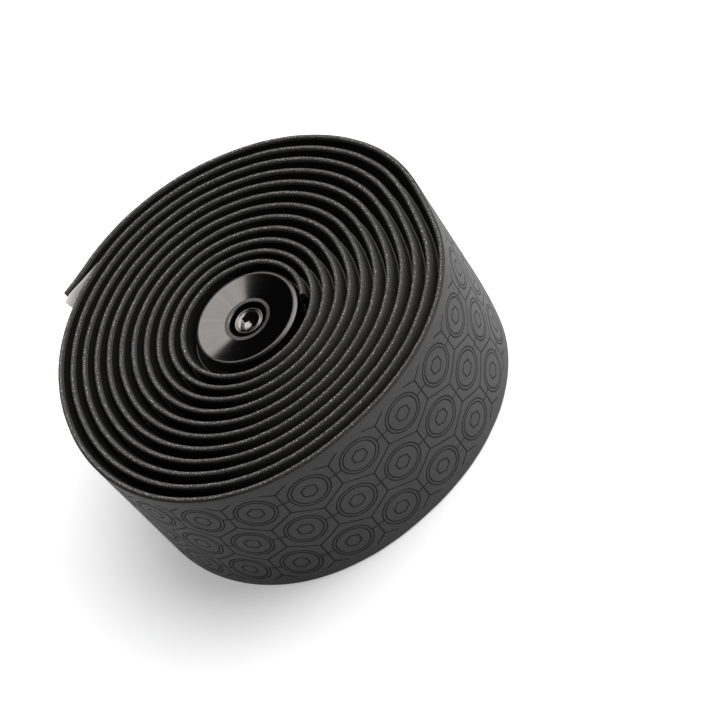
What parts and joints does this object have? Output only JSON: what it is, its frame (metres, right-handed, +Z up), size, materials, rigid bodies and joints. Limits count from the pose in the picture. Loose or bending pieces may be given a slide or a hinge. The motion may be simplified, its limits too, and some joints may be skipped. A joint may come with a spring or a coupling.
{
  "type": "handlebar tape roll",
  "caption": "Roll of padded handlebar tape standing on its end, wound in a spiral with skived edges and a release liner, with a clamping bar end plug nested in its core.",
  "frame": {"origin": "on the floor, under the middle of the roll's box", "axes": "+Z up along the axis that the tape is wound round, with the plug's face up; the tape's outer end lies near -X and a little towards +Y"},
  "size_m": [0.0748, 0.0754, 0.03],
  "materials": {
    "padded_tape": "black polyurethane face on dark foam, satin, with a pale granular cut edge",
    "liner_film": "light grey release film",
    "black_anodised": "turned and black anodised",
    "black_steel": "black oxide",
    "black_nylon": "matt moulded",
    "plain_alloy": "turned, uncoated"
  },
  "bodies": {
    "root": {"tape": "padded_tape", "release_liner": "liner_film", "end_cap": "black_anodised", "clamp_bolt": "black_steel", "split_sleeve": "black_nylon", "wedge_nut": "plain_alloy"}
  },
  "joints": []
}
